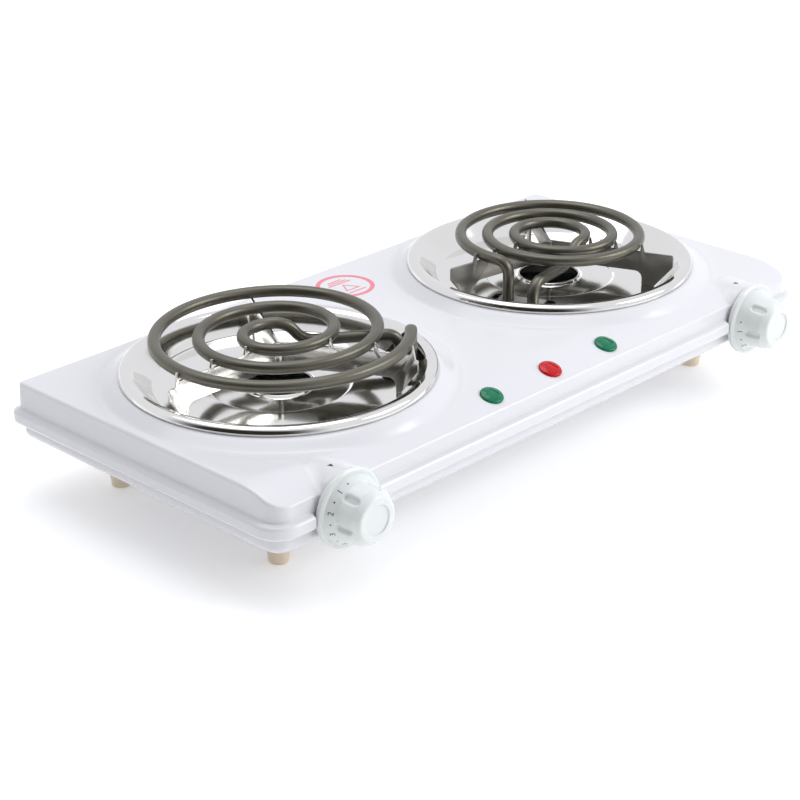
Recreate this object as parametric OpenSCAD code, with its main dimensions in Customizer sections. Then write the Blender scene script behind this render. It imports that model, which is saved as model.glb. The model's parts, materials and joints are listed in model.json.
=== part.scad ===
// Two-burner electric hot plate: sheet-steel housing, two tilting coil elements,
// chrome drip pans, two rotary controls and three lamps.
// Origin: centre of the footprint, on the surface it stands on. +Z up, front at -Y.

/* [Housing] */
// Length of the housing along X, without its lip
body_l = 490; // [484:1:520]
// Distance from the burner line to the front face
front_d = 122; // [121:1:126]
// Distance from the burner line to the back face
back_d = 113; // [112:1:120]
// Height of the deck above the floor
deck_z = 73.5; // [70:0.5:90]
// Height of the top housing's skirt below the deck
skirt_h = 26; // [24:0.5:28]
// Depth of the base pan's bottom below the deck
base_h = 39; // [38.5:0.5:44]
// How far the lip stands out from the skirt
lip_out = 5; // [3:0.5:6]
// Thickness of the housing's steel
sheet = 1.2; // [0.8:0.1:1.4]

/* [Burners] */
// Distance of each burner's centre from the middle
pan_x = 128.4; // [126:0.1:132]
// Outer radius of the drip pan's ring
pan_r = 99.2; // [98:0.1:100.5]
// Thickness of the drip pan's steel
pan_t = 0.8; // [0.6:0.1:1]
// Height of the raised seat under the drip pan
seat_h = 5.5; // [4:0.5:7]
// Height of the drip pan's ring over its seat
ring_h = 5; // [4:0.5:6]
// Depth of the drip pan's floor below the deck
floor_h = 3; // [2:0.5:5]

/* [Coil elements] */
// Diameter of the sheathed heating tube
tube_d = 7.8; // [6.5:0.1:8.2]
// Radius of the left element's outer turn
left_turn_r = 76.3; // [74:0.1:78]
// Spacing of the left element's turns
left_pitch = 27.3; // [25:0.1:28]
// Height of the left element's centre line above the deck
left_coil_z = 27.3; // [26:0.1:30]
// Radius of the right element's outer turn
right_turn_r = 61.8; // [60:0.1:64]
// Spacing of the right element's turns
right_pitch = 18.7; // [17:0.1:19]
// Height of the right element's centre line above the deck
right_coil_z = 25.2; // [24:0.1:28]
// Thickness of the support blades
blade_t = 1.5; // [1:0.1:2]

/* [Controls] */
// Distance of each knob's axis from the middle
knob_x = 193.5; // [190:0.5:197]
// Depth of each knob's axis below the deck
knob_drop = 22; // [21:0.5:23]
// Radius of the knob's skirt
knob_r = 24.5; // [23:0.5:26]
// Radius of the knob's grip
grip_r = 17.6; // [16:0.1:18]
// Diameter of the control shaft
shaft_d = 6; // [6:0.5:7]
// Running clearance of shafts and hinge pins, on the radius
run_gap = 0.05; // [0.02:0.01:0.1]

/* [Lamps and feet] */
// Spacing of the three lamps
lamp_pitch = 54.9; // [50:0.1:60]
// Radius of a lamp lens
lamp_r = 7.6; // [7:0.1:8]
// Distance of each foot from the middle along X
foot_x = 200; // [190:1:210]
// Distance of each foot from the burner line
foot_y = 73; // [65:1:80]

/* [Hidden] */
$fn = 48;

// Reach of the knobs to the front and of the cord gland to the back
knob_front = 149.5;
gland_back = 121.5;
gland_z = -12;
gland_r = 5.2;
gland_bore_r = 3.6;
// Places the burner line so that the footprint's centre is at the origin
burner_y = (knob_front - gland_back) / 2;

lamp_y = -110.5;
slope_y = -90;
slope_r = 65;
// Tangent of the sloping front where the lamps sit, and its height there
lamp_tilt = asin((slope_y - lamp_y) / slope_r);
lamp_z = slope_r * (cos(lamp_tilt) - 1);
front_corner_r = 12;
back_corner_r = 4;
boss_r = 22.6;
boss_face = 123.5;
boss_bottom = 34;
knob_gap = 1;
lip_h = 6.5;
seat_hole_r = 92;
seat_top_r = 100.5;
seat_foot_r = 111;
pan_slot = 44;
tube_r = tube_d / 2;

// Directions of the elements' legs round each burner
left_leg_dir = -28;
right_leg_dir = 203;
// Angles, round the burner, at which each spiral starts and begins to step in
left_start = -17.2;
left_step = 78;
right_start = -16.8;
right_step = 107;
// How far the left spiral's first stretch swells towards its leg
left_bulge = 6;
// Inner legs
left_leg_b = [82, 10.2];
right_leg_b = [66.5, 9.6];
bend_r = 9;
dip_r = 16;
return_z = 14;
// Every second stretch of tube is this much thinner, and reaches this far into the next
step_in = 0.03;
reach = 0.4;
leg_bottom = -24;
// Hinge pins of the elements, from the burner's centre and below the deck
left_hinge_x = 82.5;
right_hinge_x = 80;
hinge_z = -5;
hinge_pin_r = 2;

// Directions of the three support blades
left_blade_dir = 180;
right_blade_dir = 172;
// Height of the blades' lower edge above the deck
arm_bottom = 7;

// ---------- Helpers ----------

// Moves to the burner line on the deck
module on_deck() {
    translate([0, burner_y, deck_z]) children();
}

// Moves to a burner's centre, turned so that its legs lie along +X
module on_burner(side) {
    on_deck()
        translate([side * pan_x, 0, 0])
            rotate(side < 0 ? left_leg_dir : right_leg_dir) children();
}

// Moves to a knob's axis on the boss face, with +Z pointing out to the front
module on_control(side) {
    on_deck()
        translate([side * knob_x, -boss_face, -knob_drop])
            rotate([90, 0, 0]) children();
}

// Moves to a lamp's seat on the sloping front, with +Z out of the slope
module on_lamp(i) {
    on_deck()
        translate([i * lamp_pitch, lamp_y, lamp_z])
            rotate([lamp_tilt, 0, 0]) children();
}

function arc(c, r, a0, a1, n = 8) =
    [for (i = [0:n]) let (a = a0 + (a1 - a0) * i / n) c + r * [cos(a), sin(a)]];

// Rounded rectangle from two corners, with its own radius at the front and back
module plate_2d(x, y0, y1, r0, r1) {
    polygon(concat(
        arc([x - r0, y0 + r0], r0, -90, 0),
        arc([x - r1, y1 - r1], r1, 0, 90),
        arc([-x + r1, y1 - r1], r1, 90, 180),
        arc([-x + r0, y0 + r0], r0, 180, 270)
    ));
}

// Round rod along a list of points, with ball joints
module rod(points, r) {
    for (i = [0:len(points) - 2]) {
        v = points[i + 1] - points[i];
        translate(points[i])
            rotate([0, acos(v[2] / norm(v)), atan2(v[1], v[0])])
                cylinder(h = norm(v), r = r);
        if (i > 0) translate(points[i]) sphere(r * 1.06);
    }
}

// Cross-head screw, head up, its seat at z = 0
module screw(d, l, head_r, head_h = 2) {
    difference() {
        union() {
            translate([0, 0, -l]) cylinder(h = l, d = d);
            cylinder(h = head_h, r = head_r);
        }
        for (a = [0, 90])
            rotate(a) translate([-head_r * 0.6, -0.4, head_h - 1])
                cube([head_r * 1.2, 0.8, 1.5]);
    }
}

module hex_nut(af, hole, h) {
    difference() {
        cylinder(h = h, d = af / cos(30), $fn = 6);
        translate([0, 0, -1]) cylinder(h = h + 2, d = hole);
    }
}

// ---------- Housing ----------

// Side outline of the top housing, drawn in by t
module side_outline(t, bottom) {
    front = -front_d + t;
    polygon(concat(
        [[front, -bottom], [front, -12], [front + 1, -9.3]],
        [for (a = [115.5:-4.25:90])
            [slope_y, -slope_r] + (slope_r - t) * [cos(a), sin(a)]],
        arc([back_d - 3, -3], 3 - t, 90, 0, 5),
        [[back_d - t, -bottom]]
    ));
}

// End outline of the top housing, drawn in by t
module end_outline(t, bottom) {
    polygon(concat(
        [[-body_l / 2 + t, -bottom]],
        arc([-body_l / 2 + 3, -3], 3 - t, 180, 90, 5),
        arc([body_l / 2 - 3, -3], 3 - t, 90, 0, 5),
        [[body_l / 2 - t, -bottom]]
    ));
}

// Raised seat round a burner
module seat(side, t) {
    translate([side * pan_x, 0, 0])
        rotate_extrude($fn = 96)
            polygon([[0, -sheet - 3], [seat_foot_r, -sheet - 3], [seat_foot_r, -t],
                [seat_top_r, seat_h - t], [0, seat_h - t]]);
}

// Round pad behind a knob, its front cut to the boss face
module boss(side, t, bottom) {
    intersection() {
        translate([side * knob_x, -boss_face + t, -knob_drop])
            rotate([-90, 0, 0]) cylinder(h = 40, r = boss_r - t);
        translate([side * knob_x - 40, -boss_face - 1, -bottom])
            cube([80, 60, bottom + 5]);
    }
}

// Solid that the top housing wraps, drawn in by t
module housing_form(t, bottom) {
    intersection() {
        linear_extrude(height = 2 * bottom + 20, center = true)
            plate_2d(body_l / 2 - t, -front_d - 2 + t, back_d - t,
                front_corner_r, back_corner_r);
        union() {
            intersection() {
                rotate([90, 0, 90])
                    linear_extrude(height = body_l + 10, center = true)
                        side_outline(t, bottom);
                rotate([90, 0, 0])
                    linear_extrude(height = 400, center = true)
                        end_outline(t, bottom);
            }
            for (side = [-1, 1]) {
                seat(side, t);
                boss(side, t, boss_bottom);
            }
        }
    }
}

module lip() {
    difference() {
        union() {
            translate([0, 0, -skirt_h])
                linear_extrude(height = lip_h)
                    plate_2d(body_l / 2 + lip_out, -front_d - lip_out, back_d + lip_out,
                        front_corner_r + 3, back_corner_r + 4);
            translate([0, 0, -skirt_h + lip_h])
                linear_extrude(height = 1.5)
                    plate_2d(body_l / 2 + lip_out / 2, -front_d - lip_out / 2,
                        back_d + lip_out / 2, front_corner_r + 1.5, back_corner_r + 2);
        }
        translate([0, 0, -skirt_h - 1])
            linear_extrude(height = lip_h + 4)
                plate_2d(body_l / 2 - sheet, -front_d + sheet, back_d - sheet,
                    front_corner_r, back_corner_r);
        for (side = [-1, 1]) {
            translate([side * knob_x - 25, -front_d - 20, -skirt_h - 1])
                cube([50, 18.5, lip_h + 4]);
            translate([side * knob_x, -boss_face + sheet, -knob_drop])
                rotate([-90, 0, 0]) cylinder(h = 10, r = boss_r - sheet);
        }
    }
}

module top_housing() {
    color([0.94, 0.94, 0.96]) {
        difference() {
            union() {
                on_deck() difference() {
                    housing_form(0, skirt_h);
                    housing_form(sheet, skirt_h + 10);
                }
                on_deck() lip();
            }
            on_deck() for (side = [-1, 1])
                translate([side * pan_x, 0, -20])
                    cylinder(h = 40, r = seat_hole_r, $fn = 96);
            for (side = [-1, 1])
                on_control(side) translate([0, 0, -10]) cylinder(h = 20, r = 5.1);
            for (i = [-1:1])
                on_lamp(i) translate([0, 0, -8]) cylinder(h = 20, r = 6.2);
            on_deck() translate([0, back_d + 5, gland_z])
                rotate([90, 0, 0]) cylinder(h = 20, r = gland_r + 0.1);
        }
    }
}

// Solid that the base pan wraps, drawn in by t
module base_form(t, top) {
    x = body_l / 2 - sheet - 0.4 - t;
    y0 = -front_d + sheet + 0.4 + t;
    y1 = back_d - sheet - 0.4 - t;
    r = 8 - t;
    bottom = -base_h + t;
    intersection() {
        linear_extrude(height = 200, center = true)
            plate_2d(x, y0, y1, front_corner_r - sheet, back_corner_r - sheet);
        rotate([90, 0, 90])
            linear_extrude(height = body_l, center = true)
                polygon(concat(arc([y0 + r, bottom + r], r, 180, 270, 6),
                    arc([y1 - r, bottom + r], r, 270, 360, 6),
                    [[y1, top], [y0, top]]));
        rotate([90, 0, 0])
            linear_extrude(height = 400, center = true)
                polygon(concat(arc([-x + r, bottom + r], r, 180, 270, 6),
                    arc([x - r, bottom + r], r, 270, 360, 6),
                    [[x, top], [-x, top]]));
    }
}

bracket_x = 222;
bracket_y = 88;

module base_pan() {
    color([0.92, 0.92, 0.95])
        on_deck() difference() {
            base_form(0, -15);
            base_form(sheet, 5);
            translate([-12, back_d - 8, gland_z - 11]) cube([24, 10, 20]);
            for (side = [-1, 1]) {
                translate([side * knob_x - 25, -front_d - 1, -boss_bottom - 1.5])
                    cube([50, 12, 30]);
                for (y = [-foot_y, foot_y])
                    translate([side * foot_x, y, -base_h - 1]) cylinder(h = 5, d = 4.4);
                for (y = [-bracket_y, bracket_y])
                    translate([side * bracket_x, y, -base_h - 1])
                        cylinder(h = 5, d = 3.6);
                for (i = [-3:3])
                    translate([side * pan_x + i * 12 - 1.5, -30, -base_h - 1])
                        cube([3, 60, 5]);
            }
        }
}

module mounting_brackets() {
    color("gainsboro")
        on_deck() for (side = [-1, 1], y = [-bracket_y, bracket_y])
            translate([side * bracket_x, y, 0]) difference() {
                union() {
                    translate([-7, -6, -base_h + sheet + 0.1]) cube([14, 12, 1.5]);
                    translate([side * 7 - 0.75, -6, -base_h + sheet + 0.1])
                        cube([1.5, 12, base_h - 2 * sheet - 0.2]);
                    translate([-7, -6, -sheet - 1.6]) cube([14, 12, 1.5]);
                }
                translate([0, 0, -base_h]) cylinder(h = 6, d = 3.1);
            }
}

module base_screws() {
    color("silver")
        on_deck() for (side = [-1, 1], y = [-bracket_y, bracket_y])
            translate([side * bracket_x, y, -base_h]) mirror([0, 0, 1])
                screw(3, 8, 3);
}

// ---------- Feet ----------

foot_h = deck_z - base_h;

module feet() {
    color([0.93, 0.9, 0.82])
        on_deck() for (side = [-1, 1], y = [-foot_y, foot_y])
            translate([side * foot_x, y, -deck_z]) difference() {
                cylinder(h = foot_h, r1 = 6.2, r2 = 9);
                translate([0, 0, -1]) cylinder(h = foot_h - 7, r = 3.6);
                translate([0, 0, 5]) cylinder(h = foot_h, d = 4.3);
            }
}

module foot_screws() {
    color("silver")
        on_deck() for (side = [-1, 1], y = [-foot_y, foot_y])
            translate([side * foot_x, y, -base_h - 8]) mirror([0, 0, 1])
                screw(4, 14, 3.3);
}

module foot_nuts() {
    color("silver")
        on_deck() for (side = [-1, 1], y = [-foot_y, foot_y])
            translate([side * foot_x, y, -base_h + sheet]) hex_nut(7, 4, 3);
}

// ---------- Drip pans and heat shields ----------

// Section of the pan: curled ring, sloping wall, floor, step and centre hole
module pan_section() {
    top = seat_h + ring_h;
    t = pan_t;
    polygon([
        [pan_r - t, seat_h + 0.1], [pan_r, seat_h + 0.1], [pan_r, seat_h + 1.2],
        [pan_r - 1.4, top - 1.2], [pan_r - 3.6, top], [pan_r - 5.4, top - 0.2],
        [90.3, top - 1.6], [78.6, -floor_h], [45.5, -floor_h],
        [44, -floor_h - 1.6], [22, -floor_h - 1.6], [21, -floor_h],
        [20, -floor_h], [20, -floor_h - t], [20.4, -floor_h - t],
        [21.4, -floor_h - 1.6 - t], [44.6, -floor_h - 1.6 - t],
        [46, -floor_h - t], [79, -floor_h - t], [91, top - 1.6 - t],
        [pan_r - 5.3, top - 0.2 - t], [pan_r - 3.8, top - t], [pan_r - 2, top - 1.7],
        [pan_r - t, seat_h + 1.2]
    ]);
}

// Opening in the pan for the element's legs and hinge
module pan_opening(x0) {
    intersection() {
        translate([x0, -pan_slot / 2, -12]) cube([60, pan_slot, 30]);
        cylinder(h = 60, r = 91.5, center = true, $fn = 96);
    }
}

module drip_pan(side) {
    color([0.82, 0.82, 0.82])
        on_burner(side) difference() {
            rotate_extrude($fn = 96) pan_section();
            pan_opening(side < 0 ? 62 : 50);
        }
}

module heat_shield(side) {
    z = -base_h + sheet;
    color([0.7, 0.7, 0.7])
        on_burner(side) difference() {
            union() {
                rotate_extrude($fn = 96)
                    polygon([[12, z + 2], [86, z + 2], [90, z + 7], [90.7, z + 6.4],
                        [86.4, z + 1.2], [12, z + 1.2]]);
                for (a = [100, 180, 260])
                    rotate(a) translate([60, 0, z]) cylinder(h = 1.5, r = 4);
            }
            translate([40, -26, -60]) cube([80, 52, 80]);
        }
}

// ---------- Coil elements ----------

// Where an arc of radius r round c is at angle a
function at(c, r, a) = c + r * [cos(a), sin(a)];

// Where the outer leg drops from the start of the spiral
function leg_a(turn_r, d, a_start, bulge) =
    at(bulge * [cos(d), sin(d)], turn_r + bulge, a_start)
    + bend_r * [-sin(a_start), cos(a_start)];

// Angle at which the spiral leaves its inner turn, straight towards the inner leg
function end_angle(r_in, leg_b) = atan2(leg_b[1], leg_b[0]) + acos(r_in / norm(leg_b));

// The spiral's arcs, each with its centre's distance along direction d, its radius,
// and the angles between which it runs clockwise
function turns(turn_r, pitch, d, a_start, a_end, bulge) = [
    [bulge, turn_r + bulge, a_start, d - 180],
    [0, turn_r, d + 180, d],
    [pitch / 2, turn_r - pitch / 2, d, d - 180],
    [0, turn_r - pitch, d + 180, d],
    [pitch / 2, turn_r - 1.5 * pitch, d, d - 180],
    [0, turn_r - 2 * pitch, d + 180, a_end]
];

function left_turns() = turns(left_turn_r, left_pitch, left_step, left_start,
    end_angle(left_turn_r - 2 * left_pitch, left_leg_b), left_bulge);
function right_turns() = turns(right_turn_r, right_pitch, right_step, right_start,
    end_angle(right_turn_r - 2 * right_pitch, right_leg_b), 0);

// Distances from the burner's centre at which the spiral crosses direction a
function crossings(arcs, d, a) = [
    for (s = arcs, w = [a - 360, a, a + 360])
        if (w <= s[2] && w >= s[3])
            s[0] * cos(d - a) + sqrt(pow(s[1], 2) - pow(s[0] * sin(d - a), 2))
];

// Bend of radius r in the XZ plane from angle a0 to a1. A thin one reaches past both ends.
module bend(r, a0, a1, thin) {
    more = thin ? reach / r * 180 / PI : 0;
    rotate([90, 0, 0]) rotate(a0 - more)
        rotate_extrude(angle = a1 - a0 + 2 * more, $fn = 64)
            translate([r, 0]) circle(tube_r - (thin ? step_in : 0));
}

// One arc of the spiral, as turns() lists it
module coil_arc(s, d, thin) {
    more = thin ? reach / s[1] * 180 / PI : 0;
    translate(s[0] * [cos(d), sin(d), 0])
        rotate(s[3] - more) rotate_extrude(angle = s[2] - s[3] + 2 * more, $fn = 64)
            translate([s[1], 0]) circle(tube_r - (thin ? step_in : 0));
}

// Spiral of turns, with legs that drop at +X. The inner leg dips under the turns.
module coil(arcs, z, d, leg_a, leg_b) {
    a_start = arcs[0][2];
    a_end = arcs[5][3];
    p0 = at(arcs[0][0] * [cos(d), sin(d)], arcs[0][1], a_start);
    p1 = at([0, 0], arcs[5][1], a_end);
    drop = z - return_z;
    dip = acos(1 - drop / 2 / dip_r);
    run = norm(leg_b - p1);
    translate([0, 0, z]) for (i = [0:5]) coil_arc(arcs[i], d, i % 2 == 1);
    // Outer leg
    translate([p0[0], p0[1], z - bend_r]) rotate(a_start + 90) bend(bend_r, 0, 90, true);
    translate(concat(leg_a, [leg_bottom]))
        cylinder(h = z - bend_r - leg_bottom, r = tube_r);
    // Inner leg
    translate([p1[0], p1[1], z]) rotate(a_end - 90) {
        translate([0, 0, -dip_r]) bend(dip_r, 90 - dip, 90, false);
        translate([2 * dip_r * sin(dip), 0, dip_r - drop])
            bend(dip_r, -90 - dip, -90, true);
        translate([2 * dip_r * sin(dip), 0, -drop]) rotate([0, 90, 0])
            cylinder(h = run - bend_r - 2 * dip_r * sin(dip), r = tube_r);
        translate([run - bend_r, 0, -drop - bend_r]) bend(bend_r, 0, 90, true);
    }
    translate(concat(leg_b, [leg_bottom]))
        cylinder(h = return_z - bend_r - leg_bottom, r = tube_r);
}

module coil_element(side) {
    color([0.42, 0.41, 0.36])
        on_burner(side)
            if (side < 0)
                coil(left_turns(), left_coil_z, left_step, legs(-1)[0], left_leg_b);
            else
                coil(right_turns(), right_coil_z, right_step, legs(1)[0], right_leg_b);
}

// Blade outline: arm under the turns, prongs outside them, outer tab with its foot
module blade_2d(radii, z, foot_in, foot_out, tab_top) {
    top = z - tube_r - 0.1;
    foot = -floor_h + 0.1;
    tip = z + 1.5;
    hook = radii[0] + tube_r + 0.6;
    polygon(concat(
        [[0, arm_bottom]],
        arc([foot_in - 6, arm_bottom - 6], 6, 90, 0, 6),
        [[foot_in, foot], [foot_out, foot], [88.6, 12.4], [88.6, tab_top],
            [hook + 2.6, tab_top], [hook + 1, tip], [hook, tip], [hook - 0.4, top]],
        [for (k = [1, 2]) let (r = radii[k] + tube_r + 0.6)
            each [[r + 2.2, top], [r + 0.9, tip], [r, tip], [r - 0.4, top]]],
        [[0, top]]
    ));
}

// Three blades on a hub, the first at angle first, round a spiral that steps at angle d
module support(arcs, d, z, first, foot_in, foot_out, tab_top) {
    for (a = [first, first + 120, first + 240])
        rotate(a) rotate([90, 0, 0])
            linear_extrude(height = blade_t, center = true)
                blade_2d(crossings(arcs, d, a % 360), z, foot_in, foot_out, tab_top);
    translate([0, 0, arm_bottom - 1]) cylinder(h = z - tube_r - arm_bottom + 1, r = 2.4);
}

module left_coil_support() {
    color([0.6, 0.6, 0.57])
        on_burner(-1) support(left_turns(), left_step, left_coil_z,
            left_blade_dir - left_leg_dir, 74.5, 77.6, 19.5);
}

module right_coil_support() {
    color([0.45, 0.44, 0.41])
        on_burner(1) support(right_turns(), right_step, right_coil_z,
            right_blade_dir - right_leg_dir, 67, 75.8, 21);
}

// ---------- Element hinges and terminals ----------

clamp_w = 16;
clamp_h = 8;
ear_gap = 0.5;
ear_t = 1.5;
ear_r = 4.5;
rail_r = 118;
rail_w = 12;
rivet_y = 10;

function legs(side) = side < 0
    ? [leg_a(left_turn_r, left_step, left_start, left_bulge), left_leg_b]
    : [leg_a(right_turn_r, right_step, right_start, 0), right_leg_b];
function hinge_x(side) = side < 0 ? left_hinge_x : right_hinge_x;

module leg_clamp(side) {
    x0 = min([for (p = legs(side)) p[0]]) - tube_r - 2.5;
    x1 = hinge_x(side) + 5;
    color("silver")
        on_burner(side) difference() {
            translate([x0, -clamp_w, hinge_z - clamp_h / 2])
                cube([x1 - x0, 2 * clamp_w, clamp_h]);
            for (p = legs(side))
                translate([p[0], p[1], hinge_z - 10]) cylinder(h = 20, r = tube_r + 0.05);
            for (s = [-1, 1])
                translate([hinge_x(side), s * clamp_w, hinge_z]) rotate([90, 0, 0])
                    cylinder(h = 3, r = hinge_pin_r, center = true);
        }
}

module hinge_pins(side) {
    color("dimgray")
        on_burner(side) for (s = [-1, 1])
            translate([hinge_x(side), s * (clamp_w + 1), hinge_z]) rotate([90, 0, 0])
                cylinder(h = 5, r = hinge_pin_r, center = true);
}

// Two ears that carry the hinge pins, on a rail riveted under the deck
module hinge_bracket(side) {
    y0 = clamp_w + ear_gap;
    x = hinge_x(side);
    under = -sheet - 0.1;
    color("gainsboro")
        on_burner(side) difference() {
            union() {
                for (s = [-1, 1])
                    translate([0, s * (y0 + ear_t / 2), 0]) rotate([90, 0, 0])
                        linear_extrude(height = ear_t, center = true) {
                            translate([x, hinge_z]) circle(ear_r);
                            translate([x, hinge_z - ear_r])
                                square([rail_r + rail_w / 2 - x, ear_r]);
                            translate([x + 6, hinge_z - ear_r])
                                square([rail_r + rail_w / 2 - x - 6,
                                    under - hinge_z + ear_r]);
                        }
                translate([rail_r - rail_w / 2, -y0 - ear_t, under - 1.5])
                    cube([rail_w, 2 * (y0 + ear_t), 1.5]);
            }
            translate([x, 0, hinge_z]) rotate([90, 0, 0])
                cylinder(h = 60, r = hinge_pin_r + run_gap, center = true);
            for (y = [-rivet_y, rivet_y])
                translate([rail_r, y, -5]) cylinder(h = 10, d = 3.1);
        }
}

module bracket_rivets() {
    color("silver")
        for (side = [-1, 1])
            on_burner(side) for (y = [-rivet_y, rivet_y])
                translate([rail_r, y, -sheet - 1.6]) {
                    translate([0, 0, -1.2]) cylinder(h = 1.2, r = 2.6);
                    cylinder(h = 1.6, d = 3);
                }
}

module terminal_seals(side) {
    color("white")
        on_burner(side) for (p = legs(side))
            translate([p[0], p[1], leg_bottom - 2.5]) cylinder(h = 2.5, r = 3.2);
}

module terminal_pins(side) {
    color("silver")
        on_burner(side) for (p = legs(side))
            translate([p[0], p[1], leg_bottom - 7]) cylinder(h = 4.5, r = 1.2);
}

// ---------- Controls ----------

knob_l = knob_front - boss_face - knob_gap;
shaft_tail = -23.5;

module knob() {
    color([0.9, 0.93, 0.92])
        difference() {
            translate([0, 0, knob_gap]) rotate_extrude($fn = 96)
                polygon([[0, 0], [knob_r - 0.6, 0], [knob_r, 0.6], [knob_r, 2.2],
                    [knob_r - 0.8, 3], [22, 3.2], [grip_r + 0.5, 8],
                    [grip_r, knob_l - 6], [grip_r - 1.2, knob_l - 2.6],
                    [12.8, knob_l], [9, knob_l], [8.6, knob_l - 0.8],
                    [0, knob_l - 0.8]]);
            translate([0, 0, knob_gap - 1]) cylinder(h = 1 + 2, r = 20);
            translate([0, 0, knob_gap - 1]) cylinder(h = 17, r = shaft_d / 2 + 0.05);
            translate([0, 0, knob_gap - 1]) cylinder(h = 8, r = shaft_d / 2 + 1.3);
            for (a = [30:60:330])
                rotate(a) translate([grip_r + 2.4, 0, 10]) cylinder(h = 9, r = 3.4);
        }
}

module control_shaft() {
    color("silver")
        difference() {
            union() {
                translate([0, 0, shaft_tail]) cylinder(h = 15.9 - shaft_tail, d = shaft_d);
                translate([0, 0, shaft_tail]) cylinder(h = 4, r = 5);
            }
            translate([1.6, -5, 6.5]) cube([5, 10, 12]);
        }
}

module knob_spring() {
    color("gray")
        translate([0, 0, knob_gap + 1.5]) difference() {
            cylinder(h = 4.5, r = shaft_d / 2 + 1.1);
            translate([0, 0, -1]) cylinder(h = 7, r = shaft_d / 2 + 0.1);
            translate([-1, -8, -1]) cube([2, 8, 7]);
        }
}

module shaft_bushing() {
    color("goldenrod")
        difference() {
            union() {
                translate([0, 0, -14]) cylinder(h = 14.4, r = 5);
                translate([0, 0, -14]) cylinder(h = 3, r = 8);
            }
            translate([0, 0, -20]) cylinder(h = 30, r = shaft_d / 2 + run_gap);
        }
}

module bushing_nut() {
    color("silver")
        translate([0, 0, -sheet - 3.2]) hex_nut(14, 10, 3);
}

module thermostat_frame() {
    color("lightgray")
        translate([0, 0, -15.6]) difference() {
            union() {
                translate([-14, -10, 0]) cube([28, 20, 1.5]);
                translate([-14, -10, -22]) cube([1.5, 20, 22.5]);
            }
            translate([0, 0, -2]) cylinder(h = 6, r = 5.1);
        }
}

module thermostat_insulator() {
    color("ivory")
        translate([0, 0, -37.7]) for (z = [0, 7, 14])
            translate([-11, 0, z]) rotate([0, 90, 0]) translate([-3, 0, -1.4])
                cylinder(h = 6.4, r = 2.9);
}

module thermostat_blades() {
    color("peru")
        for (z = [-31.45, -24.45])
            translate([-12.4, -3.5, z]) cube([24, 7, 0.5]);
}

// ---------- Lamps ----------

module lamp_lens(i, tint) {
    color(tint)
        on_lamp(i) {
            difference() {
                union() {
                    translate([0, 0, 0.1]) cylinder(h = 1.3, r = lamp_r);
                    intersection() {
                        translate([0, 0, -11.6]) sphere(r = 14);
                        translate([0, 0, 1.3]) cylinder(h = 6, r = lamp_r - 0.4);
                    }
                    translate([0, 0, -5]) cylinder(h = 5.2, r = 6);
                }
                translate([0, 0, -6]) cylinder(h = 7, r = 4.9);
            }
        }
}

module lamp_sleeves() {
    color("white")
        for (i = [-1:1])
            on_lamp(i) translate([0, 0, -16]) difference() {
                cylinder(h = 13, r = 4.8);
                translate([0, 0, 1.2]) cylinder(h = 14, r = 3.9);
            }
}

module neon_bulbs() {
    color("orange")
        for (i = [-1:1])
            on_lamp(i) translate([0, 0, -14.7]) {
                cylinder(h = 12, r = 2.9);
                translate([0, 0, 12]) sphere(2.9);
            }
}

module lamp_retainers() {
    color("silver")
        for (i = [-1:1])
            on_lamp(i) translate([0, 0, -3.9]) difference() {
                cylinder(h = 0.8, r = 9);
                translate([0, 0, -1]) cylinder(h = 4, r = 6.05);
                translate([-1, -10, -1]) cube([2, 8, 4]);
            }
}

// ---------- Supply ----------

block_y = 78;

module cord_gland() {
    color("black")
        on_deck() translate([0, gland_back, gland_z]) rotate([90, 0, 0]) difference() {
            union() {
                cylinder(h = gland_back - back_d, r = 6);
                cylinder(h = gland_back - back_d + 14, r = gland_r);
            }
            translate([0, 0, -1]) cylinder(h = 30, r = gland_bore_r);
        }
}

module gland_nut() {
    color("dimgray")
        on_deck() translate([0, back_d - sheet, gland_z]) rotate([90, 0, 0])
            translate([0, 0, 0.1]) hex_nut(13, 2 * gland_r + 0.05, 4);
}

module terminal_block() {
    color("ivory")
        on_deck() translate([-24, block_y - 8, -base_h + sheet]) difference() {
            cube([48, 16, 13]);
            for (i = [0:2])
                translate([10 + 14 * i, 8, 5]) cylinder(h = 10, r = 2.7);
        }
}

module terminal_screws() {
    color("goldenrod")
        on_deck() for (i = [-1:1])
            translate([14 * i, block_y, -base_h + sheet + 9.5]) screw(3, 4, 2.5);
}

module earth_screw() {
    color("goldenrod")
        on_deck() translate([45, 96, -base_h + sheet]) {
            cylinder(h = 9, d = 4);
            hex_nut(7, 4, 3);
        }
}

// Routes of the insulated wires, from the block to controls, elements and lamps
wire_r = 1.2;
wire_z = -base_h + sheet + 10.2;

module supply_wires() {
    color("black")
        on_deck() for (i = [-1, 1])
            rod([[i * 1.6, back_d - 17, gland_z], [i * 7, back_d - 20.5, gland_z - 8],
                [i * 14, block_y + 12, wire_z], [i * 14, block_y + 8.2, wire_z]], wire_r);
}

module burner_wires(side) {
    color("firebrick")
        on_deck() {
            rod([[side * 14, block_y - 8.2, wire_z], [side * 14, 40, wire_z],
                [side * 8, -20, wire_z - 2], [side * 30, -93, wire_z - 2],
                [side * (knob_x - 34), -97, wire_z - 4],
                [side * (knob_x - 13), -97, wire_z - 6]], wire_r);
        }
}

module lamp_wires() {
    color("royalblue")
        on_deck()
            rod([[-lamp_pitch, lamp_y + 2, -24], [-lamp_pitch, -100, -28],
                [lamp_pitch, -100, -28], [lamp_pitch, lamp_y + 2, -24]], 0.9);
}

module hot_surface_label() {
    color([0.93, 0.45, 0.5])
        on_deck() translate([7.5, 80, 0.02]) difference() {
            cylinder(h = 0.2, r = 20.3, $fn = 72);
            translate([0, 0, -1]) cylinder(h = 3, r = 17.2, $fn = 72);
        }
}

// ---------- Nodes ----------

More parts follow.
